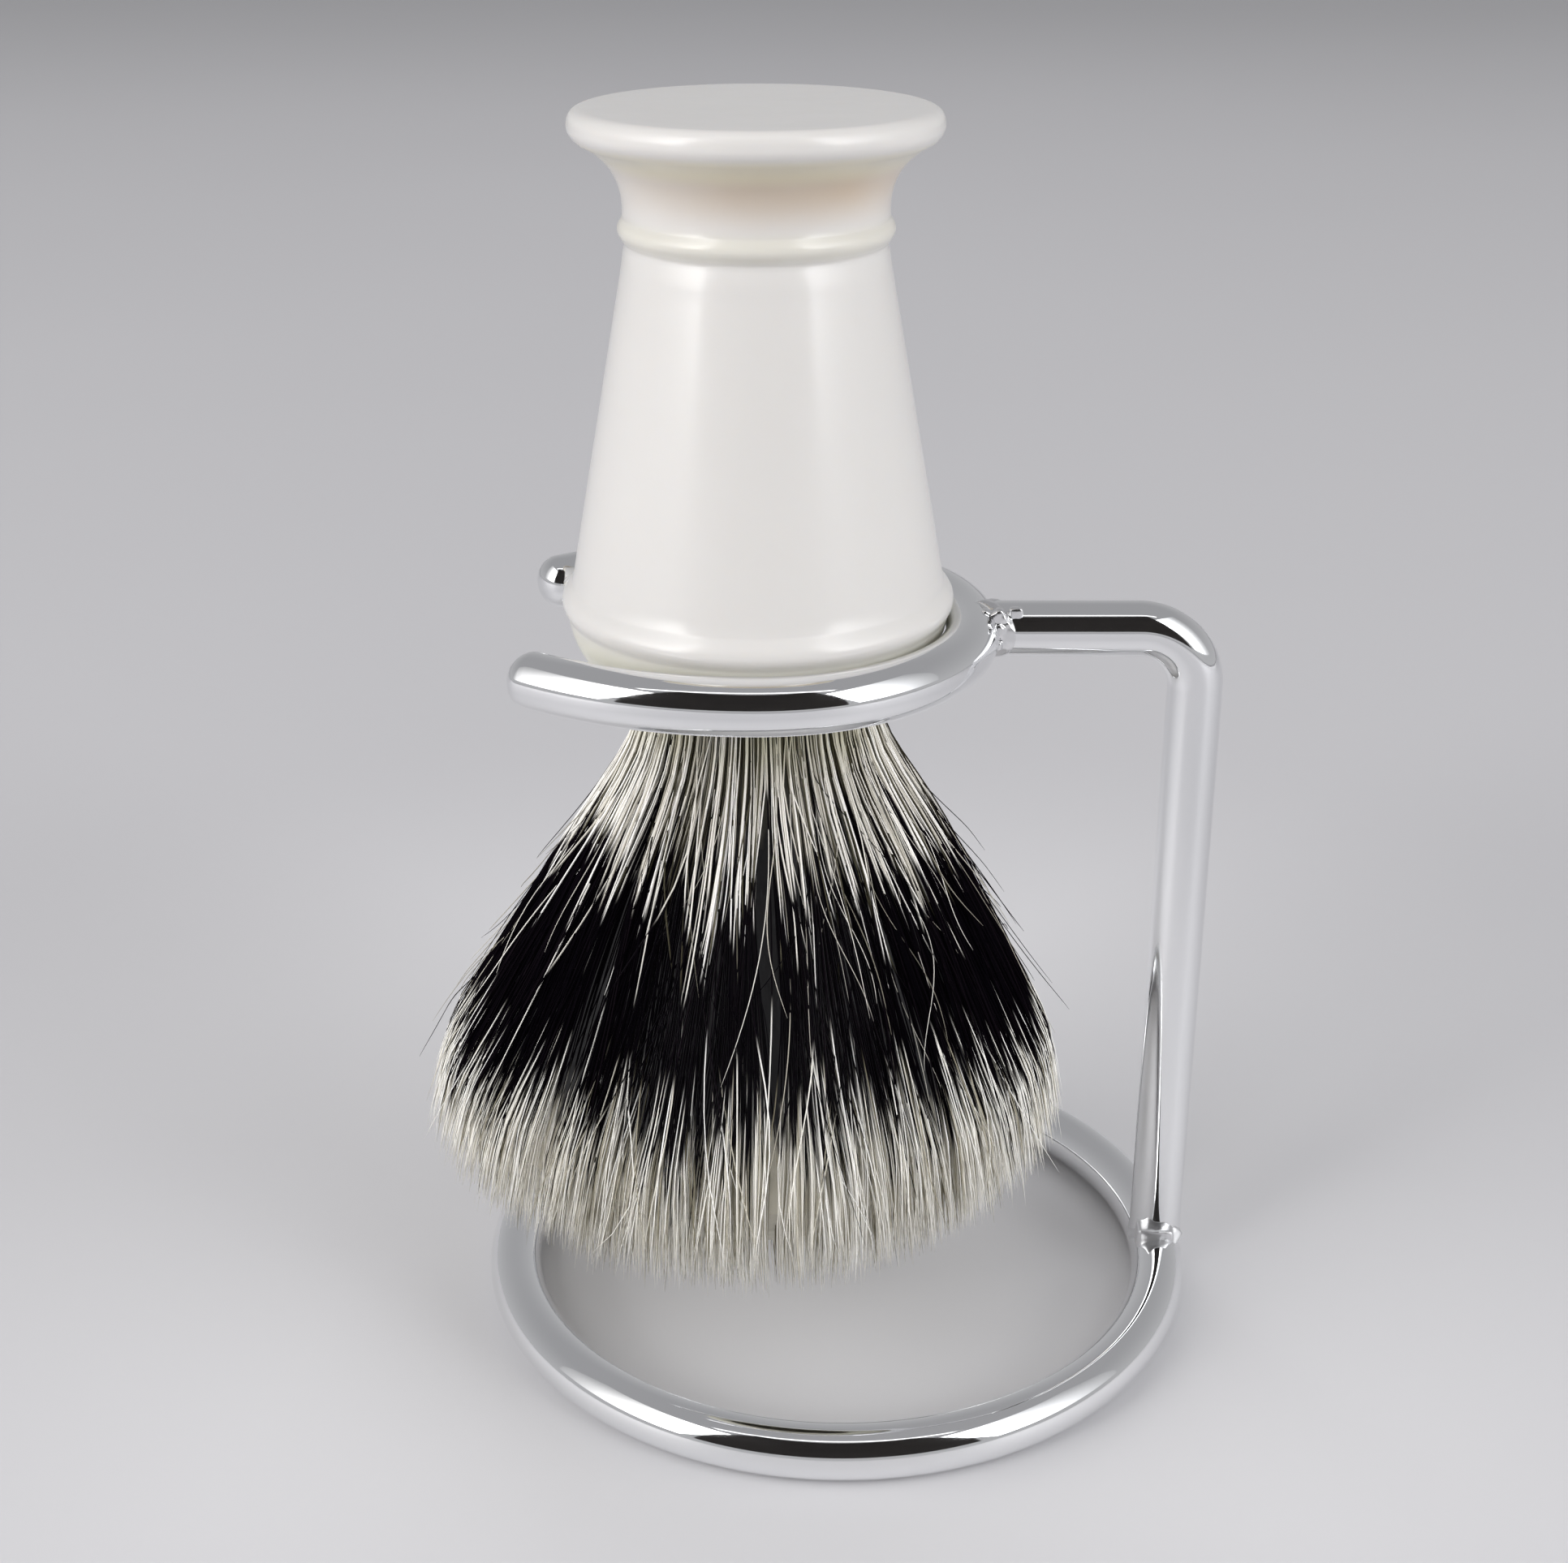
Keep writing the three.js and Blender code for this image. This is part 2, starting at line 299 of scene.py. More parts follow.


# Tones of single hairs, from the painted shade of the gaps between locks to the palest hair
ROOT_TONES = (
    (0.0, (0.012, 0.010, 0.007)),
    (0.25, (0.09, 0.083, 0.055)),
    (0.5, (0.48, 0.45, 0.38)),
    (0.8, (0.86, 0.83, 0.77)),
    (1.0, (0.96, 0.94, 0.91)),
)
TIP_TONES = (
    (0.0, (0.10, 0.088, 0.055)),
    (0.2, (0.34, 0.31, 0.23)),
    (0.5, (0.82, 0.79, 0.71)),
    (1.0, (0.96, 0.95, 0.92)),
)
BAND_DARK, BAND_SHEEN = (0.0015, 0.001, 0.002), (0.006, 0.004, 0.006)
# The olive tint is painted shade near the root and an olive tone near the tips
OLIVE_AND_SHADE_TINT, DULL_TINT = (0.60, 0.60, 0.38), (0.06, 0.05, 0.03)


def hair_material():
    """Colour runs along each hair by how far it is past its own two band edges, in millimetres."""
    n = Nodes("banded_hair")
    past_root = n.spread(n.attribute("past_root"), -1.0, 1.0, smooth=True)
    past_band = n.spread(n.attribute("past_band"), -1.2, 1.2, smooth=True)
    streak = n.noise(260, 3, n.stretched((1, 1, 0.12)))
    root = n.ramp(n.attribute("root_tone"), ROOT_TONES)
    tip = n.ramp(n.attribute("tip_tone"), TIP_TONES)
    band = n.mix(n.maths("POWER", n.attribute("tip_tone"), 5.0), BAND_DARK, BAND_SHEEN)
    # Painted shade under the fork darkens the hair to olive near the root; towards the tips' end it darkens
    # to olive too
    ends = n.maths("ADD", n.above_fork(-12, -5, 0.0, 0.65), n.above_fork(-50, -TUFT_DEPTH, 0.0, 0.4))
    olive_and_shade = n.times(ends, n.spread(n.noise(110, 2), 0.4, 0.6))
    pale = n.mix(past_band, root, tip)
    pale = n.mix(olive_and_shade, pale, n.mix(1.0, pale, OLIVE_AND_SHADE_TINT, "MULTIPLY"))
    pale = n.mix(n.spread(streak, 0.45, 0.75, 0.0, 0.15), pale, DULL_TINT)
    dark = n.times(past_root, n.maths("SUBTRACT", 1.0, past_band))
    n.shade(
        Base_Color=n.mix(dark, pale, band),
        Roughness=n.spread(streak, 0.3, 0.7, 0.4, 0.55),
        Specular_IOR_Level=0.01,
    )
    return n.material


def core_material():
    """Streaks of the same bands, for the dense inside of the tuft, darker than the hairs as painted shade
    between them.
    """
    n = Nodes("hair_core")
    depth = n.spread(n.part_of_place("Z"), (FORK_Z - TUFT_DEPTH) * MM, FORK_Z * MM, TUFT_DEPTH, 0.0)
    streak = n.noise(700, 3, n.stretched((1, 1, 0.06)))
    shifted = n.maths("ADD", depth, n.spread(streak, 0.3, 0.7, -3.0, 3.0))
    # Painted shade: the core's colours are darker than the hairs', near-black by the root
    root = n.mix(streak, (0.02, 0.018, 0.012), (0.12, 0.11, 0.085))
    tip = n.mix(streak, (0.40, 0.37, 0.29), (0.74, 0.71, 0.62))
    dark = n.mix(n.spread(shifted, 12, 16, smooth=True), root, BAND_DARK)
    colour = n.mix(n.spread(shifted, BAND_END - 1, BAND_END + 3, smooth=True), dark, tip)
    n.shade(Base_Color=colour, Roughness=n.spread(streak, 0.3, 0.7, 0.5, 0.7))
    n.bump(streak, 0.0003, 0.8)
    return n.material


def grained_material(name, low, high, scale, roughness, bump):
    """A mottled matt or satin finish for the pieces inside the handle."""
    n = Nodes(name)
    grain = n.noise(scale, 4)
    n.shade(
        Base_Color=n.mix(grain, low, high),
        Roughness=n.spread(grain, 0.3, 0.7, roughness, roughness + 0.15),
    )
    n.bump(grain, bump, 0.6)
    return n.material


def twine_material():
    """Waxed binding thread, with the slant of its twist."""
    n = Nodes("waxed_twine")
    twist = n.noise(900, 2, n.stretched((1, 1, 2.5)))
    n.shade(
        Base_Color=n.mix(twist, (0.46, 0.40, 0.29), (0.72, 0.66, 0.53)),
        Roughness=n.spread(twist, 0.3, 0.7, 0.45, 0.65),
        Sheen_Weight=0.2,
    )
    n.bump(twist, 0.0001, 0.8)
    return n.material


# ---- Mesh helpers ----

SHARP_ANGLE = math.radians(40)
WIRE_SIDES, THREAD_SIDES = 32, 10


def mesh_object(name, vertices, faces, material):
    """A smooth-shaded object from millimetre vertices. Edges over the sharp angle stay sharp."""
    mesh = bpy.data.meshes.new(name)
    mesh.from_pydata((np.asarray(vertices) * MM).tolist(), [], faces)
    mesh.validate()
    bm = bmesh.new()
    bm.from_mesh(mesh)
    bmesh.ops.recalc_face_normals(bm, faces=bm.faces)
    for face in bm.faces:
        face.smooth = True
    for edge in bm.edges:
        if len(edge.link_faces) == 2 and edge.calc_face_angle() > SHARP_ANGLE:
            edge.smooth = False
    bm.to_mesh(mesh)
    bm.free()
    mesh.materials.append(material)
    return linked(name, mesh)


def turned(name, profile, material, segments=160):
    """A solid turned about the brush axis. The profile starts and ends on the axis."""
    rings = profile[1:-1]
    angles = np.arange(segments) * FULL_TURN / segments
    vertices = [(AXIS_X, 0, FORK_Z + profile[0][1])]
    for radius, height in rings:
        for a in angles:
            vertices.append((AXIS_X + radius * math.cos(a), radius * math.sin(a), FORK_Z + height))
    vertices.append((AXIS_X, 0, FORK_Z + profile[-1][1]))
    last = len(vertices) - 1
    faces = []
    for s in range(segments):
        t = (s + 1) % segments
        faces.append((0, 1 + t, 1 + s))
        for k in range(len(rings) - 1):
            a, b = 1 + k * segments, 1 + (k + 1) * segments
            faces.append((a + s, a + t, b + t, b + s))
        end = 1 + (len(rings) - 1) * segments
        faces.append((end + s, end + t, last))
    return mesh_object(name, vertices, faces, material)


def tube(name, path, out, up, radii, material, sides, closed=False):
    """A tube of rings on a path. out and up are the directions across it, and its ends are flat."""
    around = np.arange(sides) * FULL_TURN / sides
    ring = np.cos(around)[None, :, None] * out[:, None, :]
    ring = ring + np.sin(around)[None, :, None] * np.array(up, float)
    vertices = (path[:, None, :] + ring * radii[:, None, None]).reshape(-1, 3)
    count = len(path)
    faces = []
    for k in range(count if closed else count - 1):
        a, b = k * sides, ((k + 1) % count) * sides
        for s in range(sides):
            t = (s + 1) % sides
            faces.append((a + s, a + t, b + t, b + s))
    if not closed:
        faces.append(tuple(range(sides))[::-1])
        faces.append(tuple(range((count - 1) * sides, count * sides)))
    return mesh_object(name, vertices, faces, material)


def bent_wire(name, path, flat_normal, material, closed=False, tips=False):
    """The stand's wire along a flat path of points. tips rounds both ends."""
    if closed:
        along = np.roll(path, -1, 0) - np.roll(path, 1, 0)
    else:
        along = np.gradient(path, axis=0)
    along /= np.linalg.norm(along, axis=1)[:, None]
    out = np.cross(along, flat_normal)
    radii = np.full(len(path), WIRE_RADIUS)
    if tips:
        turn = np.linspace(0, QUARTER_TURN, 12)[1:-1, None]
        reach, narrow = TIP_LENGTH * np.sin(turn), WIRE_RADIUS * np.cos(turn[:, 0])
        count = len(turn)
        path = np.vstack([path[0] - along[0] * reach[::-1], path, path[-1] + along[-1] * reach])
        radii = np.concatenate([narrow[::-1], radii, narrow])
        out = np.vstack([np.tile(out[0], (count, 1)), out, np.tile(out[-1], (count, 1))])
    return tube(name, path, out, flat_normal, radii, material, WIRE_SIDES, closed)


def arc(centre, radius, start, end, count):
    """Points of a flat arc, with angles in radians."""
    angles = np.linspace(start, end, count)
    return np.stack([centre[0] + radius * np.cos(angles), centre[1] + radius * np.sin(angles)], 1)


def rounded(start, corner, end, count=14):
    """A curved stretch of a profile, without its first point."""
    t = np.linspace(0, 1, count + 1)[1:, None]
    points = (1 - t) ** 2 * np.array(start) + 2 * (1 - t) * t * np.array(corner) + t ** 2 * np.array(end)
    return [tuple(p) for p in points]


def straight(start, end, count):
    """The points between the ends of a straight stretch of a profile."""
    t = np.linspace(0, 1, count + 2)[1:-1, None]
    return [tuple(p) for p in np.array(start) + (np.array(end) - np.array(start)) * t]


def ridge(height, rise, low_radius, high_radius, half_height=1.5):
    """A soft bead on a profile, from its lower edge to its upper edge."""
    points = []
    for t in np.linspace(-1, 1, 21):
        base = low_radius + (high_radius - low_radius) * (t + 1) / 2
        points.append((base + rise * (1 - t * t) ** 1.4, height + half_height * t))
    return points


# ---- Stand ----

def ring_path():
    flat = arc((RING_X, 0), RING_RADIUS, 0, FULL_TURN, 241)[:-1]
    return np.column_stack([flat, np.full(len(flat), WIRE_RADIUS)])


def post_path():
    """Up the post, round its bend and along the arm to the middle of the fork's wire."""
    bend = arc((POST_X - POST_BEND, FORK_Z - POST_BEND), POST_BEND, 0, QUARTER_TURN, 24)
    rise = np.linspace(POST_START, FORK_Z - POST_BEND, 30)[:-1]
    reach = np.linspace(POST_X - POST_BEND, AXIS_X + FORK_RADIUS, 12)[1:]
    x = np.concatenate([np.full(len(rise), POST_X), bend[:, 0], reach])
    z = np.concatenate([rise, bend[:, 1], np.full(len(reach), FORK_Z)])
    return np.column_stack([x, np.zeros(len(x)), z])


def fork_path():
    """Round the brush, with an arm at each end that bends in on a wider arc."""
    turn = math.asin(ARM_REACH / ARM_RADIUS)
    centre = ARM_RADIUS - FORK_RADIUS
    flat = np.vstack([
        arc((AXIS_X, centre), ARM_RADIUS, -QUARTER_TURN - turn, -QUARTER_TURN, 40)[:-1],
        arc((AXIS_X, 0), FORK_RADIUS, -QUARTER_TURN, QUARTER_TURN, 90)[:-1],
        arc((AXIS_X, -centre), ARM_RADIUS, QUARTER_TURN, QUARTER_TURN + turn, 40),
    ])
    return np.column_stack([flat, np.full(len(flat), FORK_Z)])


def make_stand(chrome):
    base = bent_wire("stand_base_ring", ring_path(), UP, chrome, closed=True)
    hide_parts("base_ring")
    post = bent_wire("stand_post", post_path(), BACK, chrome)
    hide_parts("post_arm")
    fork = bent_wire("stand_fork", fork_path(), UP, chrome, tips=True)
    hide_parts("fork")
    return base, post, fork


# ---- Welds ----

# Lumps of weld metal: x, y, z from the middle of the joint's through wire, half sizes along x, y and z,
# turns in degrees about the x and y axes, and how rough the lump is
FORK_LUMPS = (
    ((1.15, -1.9, 1.6), (0.9, 0.6, 0.8), (0, 35), 0.13),
    ((2.1, -2.0, 1.8), (0.8, 0.65, 0.7), (0, -30), 0.13),
    ((1.75, -2.25, 0.75), (1.0, 0.55, 0.65), (10, 15), 0.13),
    ((2.9, -2.05, 0.6), (0.65, 0.55, 0.85), (0, -20), 0.13),
    ((3.75, -1.5, 2.0), (0.65, 0.5, 0.55), (0, 0), 0.06),
    ((2.05, -2.4, -0.75), (0.5, 0.5, 0.45), (0, 0), 0.04),
    ((2.3, 2.0, 1.1), (1.0, 0.6, 0.8), (0, 25), 0.1),
    ((3.0, 2.0, -0.7), (0.7, 0.6, 0.7), (0, -20), 0.1),
)
FOOT_LUMPS = (
    ((-0.45, -2.3, 2.4), (1.8, 1.1, 1.2), (4, 4), 0.05),
    ((1.15, -2.6, 1.7), (0.6, 0.5, 1.6), (-42, 45), 0.03),
    ((1.2, 2.1, 2.8), (0.9, 0.6, 0.7), (0, 15), 0.06),
)
SLEEVE_ROUGH, SLEEVE_FOLDS, LUMP_FOLDS = 0.55, 1.8, 1.3
SLEEVE_INSET, SLEEVE_SINK = 0.7, 0.05
SKIN_GRAIN = 0.1


def crumple(point, size, seed):
    """How far a rough weld stands out at a point, from -1 to 1, in folds about size millimetres across."""
    place = Vector(point) / size + Vector((seed, 2 * seed, -seed))
    return noise.turbulence(place, 2, True, amplitude_scale=0.5) * 1.6 - 0.8


def sleeve(origin, away, through, length, thickness, seed, around=72, along=18):
    """A rough bead of weld round a wire where it leaves the side of a through wire."""
    away, through = np.array(away, float), np.array(through, float)
    across = np.cross(away, through)
    vertices, faces = [], []
    for i in range(around):
        turn = FULL_TURN * i / around
        heading = math.cos(turn) * through + math.sin(turn) * across
        start = WIRE_RADIUS * (0.15 + 0.75 * abs(math.cos(turn)))
        for j in range(along + 1):
            t = j / along
            crest = math.sin(math.pi * t) ** 0.7
            spot = origin + heading * WIRE_RADIUS + away * (start + length * t)
            rough = crumple(spot, SLEEVE_FOLDS, seed)
            height = crest * thickness * (1 + SLEEVE_ROUGH * rough) - SLEEVE_SINK
            vertices.append(spot + heading * height)
        for t in (1.0, 0.5, 0.0):
            inside = heading * (WIRE_RADIUS - SLEEVE_INSET)
            vertices.append(origin + inside + away * (start + length * t))
    row = along + 4
    for i in range(around):
        for j in range(row):
            a, b = i * row + j, i * row + (j + 1) % row
            c, d = ((i + 1) % around) * row + (j + 1) % row, ((i + 1) % around) * row + j
            faces.append((a, b, c, d))
    return vertices, faces


def lump(centre, half_sizes, turns, rough, seed, power):
    """A rough drop of weld metal, boxier at a higher power."""
    lean, tilt = (math.radians(turn) for turn in turns)
    turn = np.array(Matrix.Rotation(tilt, 3, "Y") @ Matrix.Rotation(lean, 3, "X"))
    bm = bmesh.new()
    bmesh.ops.create_icosphere(bm, subdivisions=4, radius=1)
    vertices = []
    for vertex in bm.verts:
        boxy = sum(abs(c) ** power for c in vertex.co) ** (-1 / power)
        spot = centre + turn @ (np.array(vertex.co) * boxy * np.array(half_sizes))
        vertices.append(spot + np.array(vertex.co) * rough * crumple(spot, LUMP_FOLDS, seed))
    faces = [tuple(v.index for v in face.verts) for face in bm.faces]
    bm.free()
    return vertices, faces


def weld_piece(name, parts, material):
    """Overlapping lumps run together into one skin."""
    vertices, faces = [], []
    for part_vertices, part_faces in parts:
        shift = len(vertices)
        vertices.extend(part_vertices)
        faces.extend(tuple(i + shift for i in face) for face in part_faces)
    rough = mesh_object(name, vertices, faces, material)
    remesh = rough.modifiers.new("skin", "REMESH")
    remesh.mode = "VOXEL"
    remesh.voxel_size = SKIN_GRAIN * MM
    relax = rough.modifiers.new("relax", "SMOOTH")
    relax.iterations = 3
    skin = bpy.data.meshes.new_from_object(rough.evaluated_get(bpy.context.evaluated_depsgraph_get()))
    bpy.data.objects.remove(rough)
    for polygon in skin.polygons:
        polygon.use_smooth = True
    skin.materials.clear()
    skin.materials.append(material)
    return linked(name, skin)


def joint_parts(origin, away, length, thickness, lumps, power, seeds):
    """The sleeve and the lumps of one weld. seeds are the sleeve's and the first lump's."""
    parts = [sleeve(origin, away, BACK, length, thickness, seeds[0])]
    for seed, (place, half_sizes, turns, rough) in enumerate(lumps, seeds[1]):
        parts.append(lump(origin + np.array(place), half_sizes, turns, rough, seed, power))
    return parts


def make_welds():
    """A bright weld at the fork and a duller one at the post's foot."""
    fork_side = np.array([AXIS_X + FORK_RADIUS, 0, FORK_Z])
    parts = joint_parts(fork_side, RIGHT, 1.6, 0.22, FORK_LUMPS, 4, seeds=(3, 5))
    fork_weld = weld_piece("weld_at_fork", parts, weld_material("bright_weld", 0.16))
    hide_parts("fork_weld")

    post_foot = np.array([POST_X, 0, WIRE_RADIUS])
    parts = joint_parts(post_foot, UP, 1.3, 0.2, FOOT_LUMPS, 9, seeds=(21, 25))
    base_weld = weld_piece("weld_at_base", parts, weld_material("satin_weld", 0.32))
    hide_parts("base_weld")
    return fork_weld, base_weld


# ---- Handle ----

def handle_profile():
    neck, cone, bowl = 11.2, 16.4, 16.9
    socket, socket_floor, mouth_edge = 10.3, MOUTH_HEIGHT + 12, 0.3
    mouth, bowl_top = (11.4, MOUTH_HEIGHT), (bowl, 2.0)
    underside, rim, flat = (14.9, FOOT_TOP - 2.6), (15.6, FOOT_TOP - 1.4), (14.2, FOOT_TOP)
    upper_bead, lower_bead = FOOT_TOP - 9.8, 3.5
    cone_bottom, cone_top = (cone, lower_bead + 1.5), (neck, upper_bead - 2.1)
    groove = [
        (neck - 0.02, upper_bead - 1.7),
        (neck - 0.18, upper_bead - 1.4),
        (neck - 0.15, upper_bead - 1.15),
    ]
    cove_bottom = (neck, FOOT_TOP - 8.1)
    return [
        (0, socket_floor),
        (socket, socket_floor),
        (socket, MOUTH_HEIGHT + mouth_edge),
        (socket + mouth_edge, MOUTH_HEIGHT),
        mouth,
        *rounded(mouth, (16.2, -3), bowl_top)[:-1],
        *ridge(lower_bead, 0.7, bowl, cone),
        *straight(cone_bottom, cone_top, 22),
        *groove,
        *ridge(upper_bead, 0.45, neck, neck, half_height=1.0),
        cove_bottom,
        *rounded(cove_bottom, (neck, FOOT_TOP - 4.4), underside),
        *rounded(underside, (rim[0], FOOT_TOP - 2), rim, 6),
        *rounded(rim, (rim[0], FOOT_TOP), flat, 10),
        *straight(flat, (0, FOOT_TOP), 6),
        (0, FOOT_TOP),
    ]


# ---- Inside the handle ----

THREAD_RADIUS, THREAD_TURNS, STEPS_PER_TURN = 0.3, 4, 72
DISC_SEGMENTS = 96
EPOXY_TONES = (0.62, 0.50, 0.30), (0.76, 0.66, 0.46)
PLUG_TONES = (0.50, 0.44, 0.32), (0.62, 0.56, 0.44)


def span_above_fork(node):
    """Radius, lowest and highest height of a node that is round about the brush axis."""
    low, high = box_mm(node)
    return (high[0] - low[0]) / 2, low[2] - FORK_Z, high[2] - FORK_Z


def disc_profile(node, edge):
    """Profile of a disc from its lower face up, with softened edges."""
    radius, low, high = span_above_fork(node)
    return [
        (0, low),
        (radius - edge, low),
        *rounded((radius - edge, low), (radius, low), (radius, low + edge), 5),
        *rounded((radius, high - edge), (radius, high), (radius - edge, high), 5),
        (0, high),
    ]


def thread_coil(name, radius, low, high, material):
    """Binding thread wound round the root of the hair."""
    count = THREAD_TURNS * STEPS_PER_TURN + 1
    turn = np.linspace(0, THREAD_TURNS * FULL_TURN, count)
    rise = np.linspace(low + THREAD_RADIUS, high - THREAD_RADIUS, count)
    heading = np.stack([np.cos(turn), np.sin(turn), np.zeros(count)], 1)
    axis = np.stack([np.full(count, AXIS_X), np.zeros(count), FORK_Z + rise], 1)
    middle = heading * (radius - THREAD_RADIUS) + axis
    radii = np.full(count, THREAD_RADIUS)
    return tube(name, middle, heading, UP, radii, material, THREAD_SIDES)


def make_inside():
    epoxy = grained_material("setting_epoxy", *EPOXY_TONES, 300, 0.2, 0.0002)
    glue = turned("setting_glue_pad", disc_profile("setting_glue", 0.3), epoxy, DISC_SEGMENTS)
    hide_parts("setting_glue")
    resin = grained_material("moulded_plug", *PLUG_TONES, 500, 0.4, 0.0001)
    plug = turned("knot_plug_disc", disc_profile("knot_plug", 0.6), resin, DISC_SEGMENTS)
    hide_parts("knot_plug")
    binding = thread_coil("knot_binding_thread", *span_above_fork("knot_binding"), twine_material())
    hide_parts("knot_binding")
    return (glue, "setting_glue"), (plug, "plug_resin"), (binding, "binding_cord")


# ---- Hair ----

# Where the black band starts and ends, and how much lower it ends at the left and right
BAND_START, BAND_END, SIDE_DROP = 15.2, 36.8, 4.0
# How far the tuft's end curves up to its rim, and how flat the middle of that dome is
DOME_DEPTH, DOME_POWER = 13.8, 2.5
HAIR_START = 2.5
HAIR_RADIUS = (0.075, 0.115)
# Part of all hairs that are painted as in shade, and tones of shaded and bright hairs before and after the
# band
SHADED_PART = 0.18
SHADED_ROOT, BRIGHT_ROOT = (0, 0.35), (0.75, 1.15)
SHADED_TIP, BRIGHT_TIP = (0.1, 0.6), (0.7, 1.1)
# How sharply a lock darkens to its edges, as painted shade in the gaps between locks
ROOT_GAP_SHADE_POWER, TIP_GAP_SHADE_POWER = 2.1, 3.0
# How much wider the tuft flares on its left than in its middle
UNEVEN = 0.045
# How far hairs draw in to their lock's middle, how long the pale wedge is there and how high it stands
GATHER = 0.55
ROOT_WEDGE, TIP_WEDGE = 8.5, 9.0
ROOT_CREST, TIP_CREST = 0.45, 0.8
# How hard a lock holds its hairs, and how much they sway and stray, for hairs in a lock and loose ones
HELD, LOOSELY_HELD = 1.0, 0.25
SWAY, LOOSE_SWAY = 0.35, 3.0
DRIFT, LOOSE_DRIFT = 0.05, 0.15

FAN_DEPTHS = (0, 6.2, 10.9, 20, 32.7, 40.3, 47.8, 62)
FAN_RADII = (9.8, 10, 11.5, 17, 23.9, 28, 29.7, 31.5)


def smoothed_fan():
    """The fan's outer radius at every quarter millimetre of depth, with its corners smoothed away."""
    steps = np.linspace(0, 62, 249)
    kernel = np.hanning(27)
    padded = np.pad(np.interp(steps, FAN_DEPTHS, FAN_RADII), 13, mode="edge")
    return steps, np.convolve(padded, kernel / kernel.sum(), mode="valid")


FAN = smoothed_fan()


def fan_radius(depth):
    """Outer radius of the fan of hair at a depth below the fork's wire."""
    return np.interp(depth, *FAN)


def dome_depth(share):
    """Depth of the domed end at a share of its radius."""
    return TUFT_DEPTH - DOME_DEPTH * np.asarray(share) ** DOME_POWER


def ease(value, low, high):
    """A smooth rise from 0 at low to 1 at high."""
    t = np.clip((value - low) / (high - low), 0, 1)
    return t * t * (3 - 2 * t)


def flare(angle, depth):
    """Widening of the lower tuft towards its left, above 1 there and below 1 on its right."""
    return 1 - UNEVEN * np.cos(angle) * ease(depth, 15, 50)


def fan_points(angle, radius, depth):
    """Places round the brush axis, with the tuft's own flare."""
    radius = radius * flare(angle, depth)
    return np.stack([AXIS_X + radius * np.cos(angle), radius * np.sin(angle), FORK_Z - depth], 2)


class Locks:
    """Locks of hair side by side round the tuft, each with values that its hairs share.

    shift moves a lock's band edge, wedge is the length of the point it ends in there, tone is how bright
    its hairs are, lean is how far they turn round the tuft, and phase is where they are in their sway.
    """

    def __init__(self, count, edge_spread):
        steps = RNG.uniform(0.5, 1.5, count)
        self.edges = np.cumsum(steps) / steps.sum() * FULL_TURN
        starts = np.concatenate([[0], self.edges[:-1]])
        half = (self.edges - starts) / 2
        self.values = {
            "middle": (starts + self.edges) / 2,
            "half": half,
            "shift": RNG.normal(0, edge_spread, count),
            "tone": RNG.uniform(0, 1, count),
            "lean": RNG.normal(0, 0.9, count) * half,
            "wedge": RNG.uniform(0.4, 1.5, count),
            "phase": RNG.uniform(0, FULL_TURN, count),
        }

    def of(self, angles):
        """Each hair's lock, with the hair's own place across it.

        across runs from -1 to 1, and crest is half at the lock's middle and minus half at its edges.
        """
        wrapped = angles % FULL_TURN
        index = np.minimum(np.searchsorted(self.edges, wrapped), len(self.edges) - 1)
        lock = SimpleNamespace(**{name: value[index] for name, value in self.values.items()})
        lock.across = (wrapped - lock.middle) / lock.half
        lock.crest = 0.5 - np.abs(lock.across)
        return lock


ROOT_LOCKS = Locks(105, 1.2)
TIP_LOCKS = Locks(165, 1.7)


def hair_directions(points):
    """Unit vectors to the side and the front of every ring, for places that are hairs x rings x 3."""
    along = np.gradient(points, axis=1)
    along /= np.linalg.norm(along, axis=2)[:, :, None]
    outward = points - np.array([AXIS_X, 0, 0])
    outward[:, :, 2] = 0
    outward /= np.maximum(np.linalg.norm(outward, axis=2)[:, :, None], 1e-6)
    side = np.cross(along, outward)
    side /= np.maximum(np.linalg.norm(side, axis=2)[:, :, None], 1e-6)
    return side, np.cross(side, along)


def strand_faces(hairs, rings):
    """Corners of the sides and ends of three-sided hairs, in one row, and how many each face has."""
    base = (np.arange(hairs)[:, None] * rings + np.arange(rings)[None, :]) * 3
    low, high = base[:, :-1], base[:, 1:]
    quads = []
    for s in range(3):
        t = (s + 1) % 3
        quads.append(np.stack([low + s, high + s, high + t, low + t], -1).ravel())
    roots = np.stack([base[:, 0], base[:, 0] + 1, base[:, 0] + 2], -1)
    ends = np.stack([base[:, -1] + 2, base[:, -1] + 1, base[:, -1]], -1)
    corners = np.concatenate([*quads, roots.ravel(), ends.ravel()])
    sizes = np.concatenate([np.full(3 * low.size, 4), np.full(2 * hairs, 3)])
    return corners.astype(np.int32), sizes


